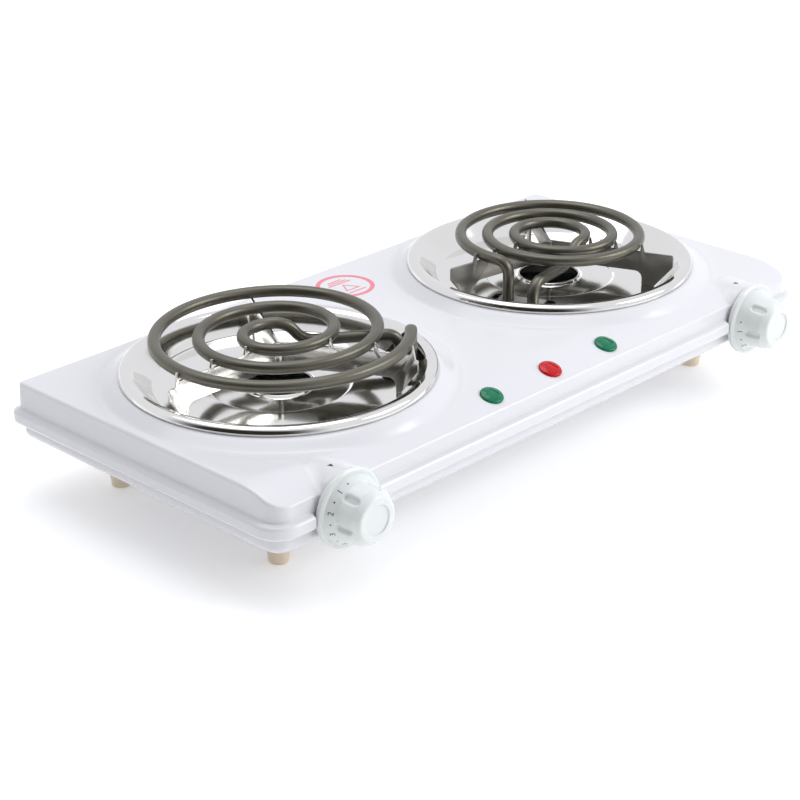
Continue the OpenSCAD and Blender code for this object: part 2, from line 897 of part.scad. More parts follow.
top_housing();
base_pan();
mounting_brackets();
base_screws();
feet();
foot_screws();
foot_nuts();
drip_pan(-1);  // left_drip_pan
drip_pan(1);  // right_drip_pan
heat_shield(-1);  // left_heat_shield
heat_shield(1);  // right_heat_shield
hinge_bracket(-1);  // left_hinge_bracket
hinge_bracket(1);  // right_hinge_bracket
bracket_rivets();
coil_element(-1);  // left_coil_element
coil_element(1);  // right_coil_element
left_coil_support();
right_coil_support();
leg_clamp(-1);  // left_leg_clamp
leg_clamp(1);  // right_leg_clamp
hinge_pins(-1);  // left_hinge_pins
hinge_pins(1);  // right_hinge_pins
terminal_seals(-1);  // left_terminal_seals
terminal_seals(1);  // right_terminal_seals
terminal_pins(-1);  // left_terminal_pins
terminal_pins(1);  // right_terminal_pins
on_control(-1) knob();  // left_knob
on_control(1) knob();  // right_knob
on_control(-1) control_shaft();  // left_control_shaft
on_control(1) control_shaft();  // right_control_shaft
on_control(-1) knob_spring();  // left_knob_spring
on_control(1) knob_spring();  // right_knob_spring
on_control(-1) shaft_bushing();  // left_shaft_bushing
on_control(1) shaft_bushing();  // right_shaft_bushing
on_control(-1) bushing_nut();  // left_bushing_nut
on_control(1) bushing_nut();  // right_bushing_nut
on_control(-1) thermostat_frame();  // left_thermostat_frame
on_control(1) thermostat_frame();  // right_thermostat_frame
on_control(-1) thermostat_insulator();  // left_thermostat_insulator
on_control(1) thermostat_insulator();  // right_thermostat_insulator
on_control(-1) thermostat_blades();  // left_thermostat_blades
on_control(1) thermostat_blades();  // right_thermostat_blades
lamp_lens(-1, [0.05, 0.5, 0.35]);  // left_lamp_lens
lamp_lens(0, [0.75, 0.08, 0.08]);  // centre_lamp_lens
lamp_lens(1, [0.05, 0.5, 0.35]);  // right_lamp_lens
lamp_sleeves();
neon_bulbs();
lamp_retainers();
cord_gland();
gland_nut();
terminal_block();
terminal_screws();
earth_screw();
supply_wires();
burner_wires(-1);  // left_burner_wires
burner_wires(1);  // right_burner_wires
lamp_wires();
hot_surface_label();
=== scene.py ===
"""Looks of the two-burner electric hot plate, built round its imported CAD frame.

Lengths are in millimetres on the deck's own axes: X along the housing, Y = 0 on the line
through both burners, Z = 0 on the deck. place() turns them into the frame's metres.
"""
import json
import math

import bmesh
import bpy
import numpy as np
from mathutils import Matrix, Vector
from mathutils.geometry import delaunay_2d_cdt


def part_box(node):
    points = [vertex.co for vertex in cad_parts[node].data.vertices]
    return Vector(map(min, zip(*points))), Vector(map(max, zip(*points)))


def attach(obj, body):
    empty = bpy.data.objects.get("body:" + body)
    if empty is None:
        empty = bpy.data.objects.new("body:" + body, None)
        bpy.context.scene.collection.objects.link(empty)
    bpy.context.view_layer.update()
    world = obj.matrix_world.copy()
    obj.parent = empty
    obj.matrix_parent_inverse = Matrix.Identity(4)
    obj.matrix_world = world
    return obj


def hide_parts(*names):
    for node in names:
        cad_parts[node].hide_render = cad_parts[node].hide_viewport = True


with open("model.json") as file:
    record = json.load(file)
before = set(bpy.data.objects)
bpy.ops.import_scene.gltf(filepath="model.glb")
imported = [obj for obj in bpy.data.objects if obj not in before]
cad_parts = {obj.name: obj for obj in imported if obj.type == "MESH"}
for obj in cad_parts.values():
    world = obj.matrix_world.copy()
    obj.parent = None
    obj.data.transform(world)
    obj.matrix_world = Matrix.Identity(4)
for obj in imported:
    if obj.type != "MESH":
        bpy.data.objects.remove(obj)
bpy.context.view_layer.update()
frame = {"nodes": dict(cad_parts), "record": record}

MM = 0.001

# ---------- Places taken from the frame ----------


def box_mm(node):
    """Lowest and highest corner of a CAD node, in millimetres."""
    low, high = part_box(node)
    return np.array(low) / MM, np.array(high) / MM


SEAT_H = 5.5
_feet = box_mm("feet")
_housing = box_mm("top_housing")
ORIGIN = np.array([0, (_feet[0][1] + _feet[1][1]) / 2, _housing[1][2] - SEAT_H])
DECK_Z = ORIGIN[2]
LIP_OUT = 5
BODY_X = _housing[1][0] - LIP_OUT
PAN_X = 128.4
KNOB_X = 193.5

# ---------- Driving dimensions ----------

FRONT_Y, BACK_Y = -122, 113
CORNER_FRONT, CORNER_BACK = 12, 4
SKIRT_BOTTOM = -26
BASE_BOTTOM = -39
EDGE_R = 2.2
SIDE_FOOT = -16.6
SLOPE_Y, SLOPE_R = -90, 66
BOSS_R, BOSS_Z, BOSS_OUT = 22, -22, 1.5
SLOT_PITCH, SLOT_HALF, SLOT_R = 12, 28.5, 1.5
FOOT_X, FOOT_Y = 200, 73
HOLE_R = 92
TUBE_R = 3.9
KNOB_FACE = -124.5
LAMP_Y, LAMP_TILT, LAMP_PITCH = -110.5, 18.4, 54.9
POINTER_Y = -112.5
LEG_DIR = {-1: -28, 1: 203}
SIDE_NAME = {-1: "left", 1: "right"}


def place(points):
    """Deck millimetres to frame metres."""
    return (np.asarray(points, float) + ORIGIN) * MM


def turned(points, degrees, centre=(0, 0, 0)):
    """Points turned about Z, then moved to a centre."""
    a = math.radians(degrees)
    spin = np.array([[math.cos(a), -math.sin(a), 0], [math.sin(a), math.cos(a), 0], [0, 0, 1]])
    return np.asarray(points, float) @ spin.T + np.array(centre)


def on_burner(points, side):
    return turned(points, LEG_DIR[side], (side * PAN_X, 0, 0))


def smooth(x, low, high):
    t = np.clip((x - low) / (high - low), 0, 1)
    return t * t * (3 - 2 * t)


# ---------- Mesh building ----------


class Shell:
    """Collects vertices and faces of one mesh."""

    def __init__(self):
        self.verts = []
        self.faces = []

    def add(self, verts, faces):
        start = len(self.verts)
        self.verts.extend(np.asarray(verts, float).tolist())
        self.faces.extend([[i + start for i in f] for f in faces])
        return start

    def grid(self, rows, close_u=False, close_v=False, flip=False):
        """Quads over rows of points, with optional wrap along (u) and across (v) the rows."""
        rows = np.asarray(rows, float)
        n, m = rows.shape[:2]
        faces = []
        for i in range(n if close_v else n - 1):
            for j in range(m if close_u else m - 1):
                a, b = i * m + j, i * m + (j + 1) % m
                c, d = ((i + 1) % n) * m + (j + 1) % m, ((i + 1) % n) * m + j
                faces.append([a, d, c, b] if flip else [a, b, c, d])
        return self.add(rows.reshape(-1, 3), faces)

    def cap(self, loop, flip=False):
        loop = list(loop)
        self.add(loop, [list(range(len(loop)))[:: -1 if flip else 1]])


def make(name, verts, faces, material, body, replaces=(), angle=30, weld=1e-4):
    mesh = bpy.data.meshes.new(name)
    mesh.from_pydata(place(verts).tolist(), [], [list(f) for f in faces])
    bm = bmesh.new()
    bm.from_mesh(mesh)
    bmesh.ops.remove_doubles(bm, verts=bm.verts, dist=weld * MM)
    bmesh.ops.dissolve_degenerate(bm, edges=bm.edges, dist=1e-8)
    bmesh.ops.recalc_face_normals(bm, faces=bm.faces)
    bm.to_mesh(mesh)
    bm.free()
    obj = bpy.data.objects.new(name, mesh)
    bpy.context.scene.collection.objects.link(obj)
    for m in material if isinstance(material, (list, tuple)) else [material]:
        mesh.materials.append(m)
    shade(obj, angle)
    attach(obj, body)
    if replaces:
        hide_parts(*replaces)
    return obj


def shade(obj, angle):
    obj.data.shade_smooth()
    obj.data.set_sharp_from_angle(angle=math.radians(angle))


def apply_modifiers(obj):
    depsgraph = bpy.context.evaluated_depsgraph_get()
    mesh = bpy.data.meshes.new_from_object(obj.evaluated_get(depsgraph))
    obj.modifiers.clear()
    old = obj.data
    obj.data = mesh
    mesh.name = old.name
    bpy.data.meshes.remove(old)


def bevel(obj, width, segments=2, angle=35):
    m = obj.modifiers.new("bevel", "BEVEL")
    m.width = width * MM
    m.segments = segments
    m.limit_method = "ANGLE"
    m.angle_limit = math.radians(angle)
    apply_modifiers(obj)
    shade(obj, 50)


def cut(obj, cutters):
    """Takes closed cutter meshes out of a piece."""
    for verts, faces in cutters:
        mesh = bpy.data.meshes.new("cutter")
        mesh.from_pydata(place(verts).tolist(), [], [list(f) for f in faces])
        tool = bpy.data.objects.new("cutter", mesh)
        bpy.context.scene.collection.objects.link(tool)
        m = obj.modifiers.new("cut", "BOOLEAN")
        m.object = tool
        m.operation = "DIFFERENCE"
        m.solver = "EXACT"
        apply_modifiers(obj)
        bpy.data.objects.remove(tool)
        bpy.data.meshes.remove(mesh)
    shade(obj, 30)


def rounded(points, closed=False, steps=5):
    """2-D polyline with its corners rounded. Each point is (u, v) or (u, v, radius)."""
    pts = [(Vector(p[:2]), p[2] if len(p) > 2 else 0) for p in points]
    out = []
    n = len(pts)
    for i, (p, r) in enumerate(pts):
        if r == 0 or (not closed and i in (0, n - 1)):
            out.append(tuple(p))
            continue
        a, b = (pts[i - 1][0] - p), (pts[(i + 1) % n][0] - p)
        la, lb = a.length, b.length
        a, b = a / la, b / lb
        half = math.acos(max(-1, min(1, a.dot(b)))) / 2
        reach = min(r / math.tan(half), 0.48 * la, 0.48 * lb)
        r = reach * math.tan(half)
        centre = p + (a + b).normalized() * r / math.sin(half)
        s, e = p + a * reach - centre, p + b * reach - centre
        turn = math.atan2(s.x * e.y - s.y * e.x, s.dot(e))
        for k in range(steps + 1):
            t = turn * k / steps
            out.append((centre.x + s.x * math.cos(t) - s.y * math.sin(t),
                        centre.y + s.x * math.sin(t) + s.y * math.cos(t)))
    return out


def lathe(profile, n=96, radius=None):
    """Rows of points of a profile of (r, z) turned about Z. radius(r, z, angle) may reshape it."""
    rows = []
    for r, z in profile:
        row = []
        for k in range(n):
            a = 2 * math.pi * k / n
            rr = radius(r, z, a) if radius else r
            row.append((rr * math.cos(a), rr * math.sin(a), z))
        rows.append(row)
    return rows


def lathe_mesh(profile, n=96, radius=None, closed=False):
    shell = Shell()
    shell.grid(lathe(profile, n, radius), close_u=True, close_v=closed)
    return np.array(shell.verts), shell.faces


def frames_along(path, up):
    """Tangents and two cross directions that slide along a path without twisting."""
    path = np.asarray(path, float)
    tangent = np.gradient(path, axis=0)
    tangent /= np.linalg.norm(tangent, axis=1)[:, None]
    side = np.zeros_like(path)
    top = np.zeros_like(path)
    mid = len(path) // 2

    def step(i, previous):
        u = previous - tangent[i] * previous.dot(tangent[i])
        top[i] = u / np.linalg.norm(u)
        side[i] = np.cross(tangent[i], top[i])

    step(mid, np.array(up, float))
    for i in range(mid + 1, len(path)):
        step(i, top[i - 1])
    for i in range(mid - 1, -1, -1):
        step(i, top[i + 1])
    return tangent, side, top


def sweep(path, section, up=(0, 0, 1), ends=True):
    """Closed section of (side, top) offsets swept along a path, with flat ends."""
    path = np.asarray(path, float)
    _, side, top = frames_along(path, up)
    section = np.asarray(section, float)
    rows = path[:, None, :] + section[None, :, :1] * side[:, None, :] \
        + section[None, :, 1:] * top[:, None, :]
    shell = Shell()
    shell.grid(rows, close_u=True)
    if ends:
        shell.cap(rows[0], flip=True)
        shell.cap(rows[-1])
    return np.array(shell.verts), shell.faces


def circle(r, n=24):
    return [(r * math.cos(2 * math.pi * k / n), r * math.sin(2 * math.pi * k / n))
            for k in range(n)]


def slab(outline, z0, z1):
    """Flat plate from a 2-D outline, as one closed mesh."""
    n = len(outline)
    verts = [(x, y, z0) for x, y in outline] + [(x, y, z1) for x, y in outline]
    faces = [list(range(n))[::-1], list(range(n, 2 * n))]
    faces += [[k, (k + 1) % n, n + (k + 1) % n, n + k] for k in range(n)]
    return np.array(verts), faces


# ---------- Materials ----------


def material(name, color, rough, metal=0.0, vary=0.04, vary_scale=30.0, rough_vary=0.05,
             rough_scale=60.0, bump=0.0, bump_scale=800.0, coat=0.0, stretch=(1, 1, 1), **sockets):
    """Principled material with noise in its colour, its roughness and its surface."""
    mat = bpy.data.materials.new(name)
    mat.use_nodes = True
    nodes, links = mat.node_tree.nodes, mat.node_tree.links
    shader = nodes["Principled BSDF"]
    coords = nodes.new("ShaderNodeTexCoord")
    mapping = nodes.new("ShaderNodeMapping")
    mapping.inputs["Scale"].default_value = stretch
    links.new(coords.outputs["Object"], mapping.inputs["Vector"])

    def noise(scale, detail=4.0):
        n = nodes.new("ShaderNodeTexNoise")
        n.inputs["Scale"].default_value = scale
        n.inputs["Detail"].default_value = detail
        links.new(mapping.outputs["Vector"], n.inputs["Vector"])
        return n.outputs["Fac"]

    ramp = nodes.new("ShaderNodeMix")
    ramp.data_type = "RGBA"
    dark = [c * (1 - vary) for c in color[:3]] + [1]
    light = [min(1, c * (1 + vary)) for c in color[:3]] + [1]
    ramp.inputs[6].default_value = dark
    ramp.inputs[7].default_value = light
    links.new(noise(vary_scale), ramp.inputs[0])
    links.new(ramp.outputs[2], shader.inputs["Base Color"])
    spread = nodes.new("ShaderNodeMapRange")
    spread.inputs["To Min"].default_value = max(0, rough - rough_vary)
    spread.inputs["To Max"].default_value = rough + rough_vary
    links.new(noise(rough_scale), spread.inputs["Value"])
    links.new(spread.outputs["Result"], shader.inputs["Roughness"])
    if bump:
        node = nodes.new("ShaderNodeBump")
        node.inputs["Strength"].default_value = bump
        node.inputs["Distance"].default_value = 0.0004
        links.new(noise(bump_scale, 2.0), node.inputs["Height"])
        links.new(node.outputs["Normal"], shader.inputs["Normal"])
    shader.inputs["Metallic"].default_value = metal
    shader.inputs["Coat Weight"].default_value = coat
    for key, value in sockets.items():
        shader.inputs[key.replace("_", " ")].default_value = value
    return mat


ENAMEL = material("enamel", (0.70, 0.705, 0.735), 0.24, vary=0.012, vary_scale=9,
                  rough_vary=0.04, bump=0.06, bump_scale=260, coat=0.25, Coat_Roughness=0.12)
CHROME = material("chrome", (0.80, 0.79, 0.77), 0.085, metal=1, vary=0.03, vary_scale=25,
                  rough_vary=0.03, rough_scale=40, bump=0.02, bump_scale=60)
SHEATH = material("coil_sheath", (0.135, 0.128, 0.102), 0.34, metal=0.75, vary=0.20,
                  vary_scale=45, rough_vary=0.07, bump=0.22, bump_scale=1500)
BRIGHT_STEEL = material("bright_steel", (0.66, 0.65, 0.62), 0.20, metal=1, vary=0.06,
                        vary_scale=60, rough_vary=0.05, bump=0.02, bump_scale=700)
DULL_STEEL = material("dull_steel", (0.24, 0.23, 0.21), 0.38, metal=0.8, vary=0.14,
                      vary_scale=50, rough_vary=0.08, bump=0.05, bump_scale=900)
ZINC = material("zinc_plate", (0.52, 0.52, 0.50), 0.32, metal=1, vary=0.10, vary_scale=180,
                rough_vary=0.10, bump=0.08, bump_scale=1200)
KNOB_PLASTIC = material("knob_plastic", (0.71, 0.745, 0.735), 0.26, vary=0.015, vary_scale=20,
                        rough_vary=0.04, bump=0.04, bump_scale=700, coat=0.2,
                        Subsurface_Weight=0.25, Subsurface_Radius=(0.006, 0.0064, 0.0062),
                        Subsurface_Scale=1.0)
FOOT_PLASTIC = material("foot_plastic", (0.80, 0.69, 0.53), 0.42, vary=0.04, vary_scale=60,
                        bump=0.10, bump_scale=900, Subsurface_Weight=0.2,
                        Subsurface_Radius=(0.006, 0.004, 0.003), Subsurface_Scale=1.0)
BLACK_PLASTIC = material("black_plastic", (0.022, 0.022, 0.023), 0.42, vary=0.2, bump=0.2,
                         bump_scale=1500)
CERAMIC = material("ceramic", (0.80, 0.77, 0.69), 0.30, vary=0.05, vary_scale=120, bump=0.08,
                   bump_scale=1000, coat=0.3)
BRASS = material("brass", (0.70, 0.50, 0.20), 0.28, metal=1, vary=0.12, vary_scale=150,
                 bump=0.08, bump_scale=1500)
COPPER = material("copper_alloy", (0.72, 0.40, 0.22), 0.30, metal=1, vary=0.15, vary_scale=120)
SHIELD = material("aluminium", (0.62, 0.62, 0.62), 0.34, metal=1, vary=0.06, vary_scale=20,
                  rough_vary=0.10, stretch=(8, 1, 1))
GREEN_LENS = material("green_lens", (0.0, 0.16, 0.075), 0.07, vary=0.5, vary_scale=420,
                      rough_vary=0.03, Specular_IOR_Level=0.35)
RED_LENS = material("red_lens", (0.50, 0.0, 0.003), 0.07, vary=0.35, vary_scale=420,
                    rough_vary=0.03, Specular_IOR_Level=0.35)
NEON = material("neon_glass", (0.85, 0.55, 0.35), 0.08, vary=0.1, Transmission_Weight=0.7)
SLEEVE = material("sleeve_plastic", (0.75, 0.75, 0.73), 0.45, vary=0.04, bump=0.1)
SILICONE_BLACK = material("silicone_black", (0.02, 0.02, 0.02), 0.5, vary=0.2, bump=0.2)
SILICONE_RED = material("silicone_red", (0.45, 0.03, 0.02), 0.5, vary=0.15, bump=0.2)
SILICONE_BLUE = material("silicone_blue", (0.03, 0.07, 0.35), 0.5, vary=0.15, bump=0.2)
PRINT_RED = material("print_red", (0.80, 0.20, 0.26), 0.35, vary=0.10, vary_scale=900)
PRINT_BLACK = material("print_black", (0.03, 0.03, 0.035), 0.45, vary=0.2, vary_scale=900)

# ---------- Housing ----------


def slope(y):
    """Height of the deck and its rolled front, before the seats and pads."""
    d = np.clip(SLOPE_Y - y, 0, SLOPE_R * 0.9)
    return np.sqrt(SLOPE_R**2 - d * d) - SLOPE_R


def soft_max(a, b, k):
    h = np.clip(0.5 + 0.5 * (a - b) / k, 0, 1)
    return b + (a - b) * h + k * h * (1 - h)


def seat_rise(r):
    """0 on the flat seat under a ring, 1 on the deck, with a straight slope between."""
    t = np.clip((r - 100.5) / 10, -0.2, 1.2)
    soft = 0.09
    low = soft * np.logaddexp(0, t / soft)
    return np.clip(low - soft * np.logaddexp(0, (t - 1) / soft), 0, 1)


def deck_height(x, y):
    """Height of the top surface at a place on the deck."""
    x, y = np.asarray(x, float), np.asarray(y, float)
    h = slope(y)
    for side in (-1, 1):
        dx = np.clip(np.abs(x - side * KNOB_X), 0, BOSS_R * 0.995)
        pad = BOSS_Z + np.sqrt(BOSS_R**2 - dx * dx) - 0.25 * np.clip(y + 99, 0, 99)
        h = soft_max(h, pad, 2.4) - 0.6 * np.exp(-np.abs(h - pad) / 1.2) * (y > -99)
    for side in (-1, 1):
        r = np.hypot(x - side * PAN_X, y)
        seat = 1 - seat_rise(r)
        h = h * (1 - seat) + SEAT_H * seat
        h = h + 0.35 * np.exp(-(((r - 113.5) / 2.2) ** 2)) * smooth(y, -116, -100)
    return h


def deck_normal(x, y):
    e = 0.05
    nx = (deck_height(x - e, y) - deck_height(x + e, y)) / (2 * e)
    ny = (deck_height(x, y - e) - deck_height(x, y + e)) / (2 * e)
    n = np.stack([nx, ny, np.ones_like(nx)], axis=-1)
    return n / np.linalg.norm(n, axis=-1)[..., None]


def pad_out(x):
    """How far the front bulges at the pads behind the knobs."""
    d = np.minimum(np.abs(x - KNOB_X), np.abs(x + KNOB_X))
    return BOSS_OUT * (1 - smooth(d, 17, 22))


def lip_share(x, y):
    """1 where the lip stands out, 0 where it is cut away round a knob."""
    d = np.minimum(np.abs(x - KNOB_X), np.abs(x + KNOB_X))
    return np.where(y < FRONT_Y + 1, smooth(d, 24.9, 25.9), 1.0)


def outline(half_x, y0, y1, r0, r1, step=3.0, fine=True):
    """Points and outward normals round a rounded rectangle, anticlockwise."""
    pts, nrm = [], []

    def line(a, b, n, xs=None):
        count = int((2 * half_x if n[0] == 0 else y1 - y0) / step)
        ts = np.linspace(0, 1, count, endpoint=False) if xs is None else xs
        for t in ts:
            pts.append(np.array(a) * (1 - t) + np.array(b) * t)
            nrm.append(n)

    def corner(c, r, a0):
        for a in np.radians(a0 + np.linspace(0, 90, 13)[:-1]):
            pts.append(np.array(c) + r * np.array([math.cos(a), math.sin(a)]))
            nrm.append((math.cos(a), math.sin(a)))

    a, b = (-half_x + r0, y0), (half_x - r0, y0)
    if fine:
        xs = set(np.round(np.arange(a[0], b[0], step), 3))
        for side in (-1, 1):
            xs |= set(np.round(side * KNOB_X + np.arange(-28, 28.01, 0.8), 3))
            for edge in (-26, 26):
                xs |= set(np.round(side * KNOB_X + edge + np.arange(-1, 1.01, 0.2), 3))
        xs = np.array(sorted(x for x in xs if a[0] <= x < b[0] - 0.5))
        line(a, b, (0, -1), (xs - a[0]) / (b[0] - a[0]))
    else:
        line(a, b, (0, -1))
    corner((half_x - r0, y0 + r0), r0, -90)
    line((half_x, y0 + r0), (half_x, y1 - r1), (1, 0))
    corner((half_x - r1, y1 - r1), r1, 0)
    line((half_x - r1, y1), (-half_x + r1, y1), (0, 1))
    corner((-half_x + r1, y1 - r1), r1, 90)
    line((-half_x, y1 - r1), (-half_x, y0 + r0), (-1, 0))
    corner((-half_x + r0, y0 + r0), r0, 180)
    return np.array(pts), np.array(nrm, float)


def skirt_rows():
    """Rows of the housing's edge, side and lip, from the deck's rounded edge down."""
    pts, nrm = outline(BODY_X, FRONT_Y, BACK_Y, CORNER_FRONT, CORNER_BACK)
    front = (nrm[:, 1] < -0.99) & (pts[:, 1] < FRONT_Y + 1)
    pts = pts.copy()
    pts[front, 1] -= pad_out(pts[front, 0])
    share = lip_share(pts[:, 0], pts[:, 1])
    inset = pts - nrm * EDGE_R
    top = deck_height(inset[:, 0], inset[:, 1])
    # The slope of the deck across the edge, so that the rounding starts level with it
    beyond = pts - nrm * (EDGE_R - 0.1)
    grade = np.arctan((deck_height(beyond[:, 0], beyond[:, 1]) - top) / 0.1)
    rows = []
    for k in range(9):
        a = math.pi / 2 * (1 - k / 8)
        s = a + grade * (a / (math.pi / 2))
        out = EDGE_R * (np.cos(s) - np.cos(math.pi / 2 + grade)) \
            / (1 - np.cos(math.pi / 2 + grade)) - EDGE_R
        z = top - EDGE_R * (np.sin(math.pi / 2 + grade) - np.sin(s))
        rows.append((out, z))
    low = rows[-1][1]
    profile = rounded([(0, 0), (0.5, SIDE_FOOT, 0.9), (3.9, -17.9, 0.7), (LIP_OUT, -19.0, 0.9),
                       (LIP_OUT - 0.1, SKIRT_BOTTOM + 1.6, 1.4), (3.9, SKIRT_BOTTOM, 0.8),
                       (1.5, SKIRT_BOTTOM)], steps=4)
    z0 = profile[0][1]
    for out, z in profile[1:]:
        # Above the lip the side keeps its place; the start follows the deck's edge
        weight = (z - z0) / SIDE_FOOT if z > SIDE_FOOT else 1
        height = low * (1 - weight) + z * weight if z > SIDE_FOOT else np.full(len(pts), z)
        height = np.minimum(height, low - 0.02)
        keep = 0.4 if out > 1.5 else out
        rows.append((keep + (out - keep) * share, height))
    out_rows = []
    for out, z in rows:
        xy = pts + nrm * np.asarray(out)[:, None] if np.ndim(out) else pts + nrm * out
        out_rows.append(np.column_stack([xy, z]))
    return out_rows


def deck_points(edge):
    """Points over the deck, dense where it curves, with the edge and the two holes first."""
    hole_n = 192
    points = [tuple(p) for p in edge[:, :2]]
    n_edge = len(points)
    edges = [(k, (k + 1) % n_edge) for k in range(n_edge)]
    angles = np.arange(hole_n) * 2 * math.pi / hole_n
    for side in (-1, 1):
        start = len(points)
        points += [(side * PAN_X + HOLE_R * math.cos(a), HOLE_R * math.sin(a)) for a in angles]
        edges += [(start + k, start + (k + 1) % hole_n) for k in range(hole_n)]

    def inside(x, y):
        if abs(x) > BODY_X - EDGE_R - 0.6 or not FRONT_Y + EDGE_R + 0.6 < y < BACK_Y - EDGE_R - 0.6:
            return False
        cx, cy = BODY_X - CORNER_FRONT, FRONT_Y + CORNER_FRONT
        if abs(x) > cx and y < cy and math.hypot(abs(x) - cx, y - cy) > CORNER_FRONT - EDGE_R - 0.6:
            return False
        return True

    radii = [94, 96.5, 99, 100.5] + list(np.arange(101.2, 110.9, 0.8)) + [112, 113.5, 115, 117]
    for side in (-1, 1):
        for r in radii:
            for a in angles:
                x, y = side * PAN_X + r * math.cos(a), r * math.sin(a)
                if inside(x, y) and (side * x > 0 or abs(x) > 0.5):
                    points.append((x, y))
    outside_rings = 119

    def spread(xs, ys, skip=lambda x, y: False):
        for y in ys:
            for x in xs:
                if not inside(x, y) or skip(x, y):
                    continue
                if min(math.hypot(x - PAN_X, y), math.hypot(x + PAN_X, y)) > outside_rings:
                    points.append((x, y))

    def near_pad(x, y):
        return abs(abs(x) - KNOB_X) < 27 and y < -84

    spread(np.arange(-244, 244.1, 5), np.arange(-84, 112, 5))
    spread(np.arange(-244, 244.1, 3), np.arange(-118.6, -85, 1.6), near_pad)
    for side in (-1, 1):
        spread(side * KNOB_X + np.arange(-26.5, 26.6, 1.0), np.arange(-118.6, -84, 1.2))
    return points, edges


def thickened(verts, faces, normals, thickness):
    """A closed shell from an open surface, its second face set in along the normals."""
    n = len(verts)
    inner = verts - normals * thickness
    uses = {}
    for f in faces:
        for a, b in zip(f, f[1:] + f[:1]):
            uses[(a, b)] = uses.get((a, b), 0) + 1
    border = [(a, b) for (a, b) in uses if (b, a) not in uses]
    all_faces = [list(f) for f in faces] + [[i + n for i in reversed(f)] for f in faces]
    all_faces += [[b, a, a + n, b + n] for a, b in border]
    return np.vstack([verts, inner]), all_faces


def vertex_normals(verts, faces):
    normals = np.zeros_like(verts)
    for size in (3, 4):
        group = np.array([f for f in faces if len(f) == size])
        if len(group) == 0:
            continue
        a = verts[group[:, 2]] - verts[group[:, 0]]
        b = verts[group[:, -1]] - verts[group[:, 1]]
        n = np.cross(a, b)
        if size == 3:
            n = np.cross(verts[group[:, 1]] - verts[group[:, 0]], a)
        for k in range(size):
            np.add.at(normals, group[:, k], n)
    length = np.linalg.norm(normals, axis=1)
    length[length == 0] = 1
    return normals / length[:, None]


def housing():
    rows = skirt_rows()
    points, edges = deck_points(rows[0])
    vs, _, tris, *_ = delaunay_2d_cdt([Vector(p) for p in points], edges, [], 0, 1e-5)
    xy = np.array([tuple(v) for v in vs])
    faces = []
    for t in tris:
        c = xy[list(t)].mean(axis=0)
        if min(math.hypot(c[0] - PAN_X, c[1]), math.hypot(c[0] + PAN_X, c[1])) < HOLE_R * 0.9995:
            continue
        if c[1] < FRONT_Y + EDGE_R - pad_out(c[0]):
            continue
        faces.append(list(t))
    deck = np.column_stack([xy, deck_height(xy[:, 0], xy[:, 1])])
    n_deck = len(deck)
    # The skirt's first row is the deck's own edge, which the triangulation kept in order
    ring = np.array(rows[1:])
    m = ring.shape[1]
    verts = np.vstack([deck, ring.reshape(-1, 3)])

    def at(row, col):
        return col % m if row == 0 else n_deck + (row - 1) * m + col % m

    for r in range(len(rows) - 1):
        for c in range(m):
            faces.append([at(r, c + 1), at(r, c), at(r + 1, c), at(r + 1, c + 1)])
    normals = vertex_normals(verts, faces)
    normals[:n_deck] = deck_normal(xy[:, 0], xy[:, 1])
    whole, closed = thickened(verts, faces, normals, 1.1)
    obj = make("housing_shell", whole, closed, ENAMEL, "housing", ("top_housing",),
               angle=180, weld=0)
    return obj


def base_pan():
    """Pan under the housing: straight sides, round bottom edges, slots under each burner."""
    t = 1.6
    pts, nrm = outline(BODY_X - t, FRONT_Y + t, BACK_Y - t, 10.4, 2.6, fine=False)
    profile = rounded([(0, -15), (0, BASE_BOTTOM, 8), (-14, BASE_BOTTOM)], steps=10)
    shell = Shell()
    rows = [np.column_stack([pts + nrm * 0, np.full(len(pts), profile[0][1])])]
    wide, _ = outline(BODY_X - t, FRONT_Y + t, BACK_Y - t, 14.5, 14.5, fine=False)
    for out, z in profile[1:]:
        # Corners open up towards the bottom, where the rounding needs the room
        f = smooth(-out, 0, 8) if out < 0 else 0.0
        base = pts * (1 - f) + wide * f
        rows.append(np.column_stack([base + nrm * out, np.full(len(pts), z)]))
    shell.grid(rows, close_u=True, flip=True)
    edge = rows[-1]
    points = [tuple(p[:2]) for p in edge]
    n = len(points)
    edges = [(k, (k + 1) % n) for k in range(n)]
    holes = []
    for side in (-1, 1):
        for i in range(-3, 4):
            cx = side * PAN_X + i * SLOT_PITCH
            loop = [(cx + SLOT_R * math.cos(a), s * SLOT_HALF + SLOT_R * math.sin(a))
                    for s, a0 in ((1, 0), (-1, 180)) for a in np.radians(a0 + np.linspace(0, 180, 7))]
            start = len(points)
            points += loop
            edges += [(start + k, start + (k + 1) % len(loop)) for k in range(len(loop))]
            holes.append(cx)
    for x in np.arange(-220, 221, 12):
        for y in np.arange(-96, 92, 12):
            if min(abs(x - h) for h in holes) > 3 or abs(y) > 33:
                points.append((x, y))
    vs, _, tris, *_ = delaunay_2d_cdt([Vector(p) for p in points], edges, [], 0, 1e-5)
    xy = np.array([tuple(v) for v in vs])
    flat = []
    for f in tris:
        c = xy[list(f)].mean(axis=0)
        near = min(abs(c[0] - h) for h in holes)
        if near < SLOT_R and abs(c[1]) < SLOT_HALF + math.sqrt(max(0, SLOT_R**2 - near**2)):
            continue
        flat.append(list(f)[::-1])
    shell.add(np.column_stack([xy, np.full(len(xy), float(BASE_BOTTOM))]), flat)
    verts, faces = welded(np.array(shell.verts), shell.faces)
    normals = vertex_normals(verts, faces)
    whole, closed = thickened(verts, faces, normals, 1.1)
    return make("base_pan_shell", whole, closed, ENAMEL, "housing",
                ("base_pan",), angle=40, weld=0)


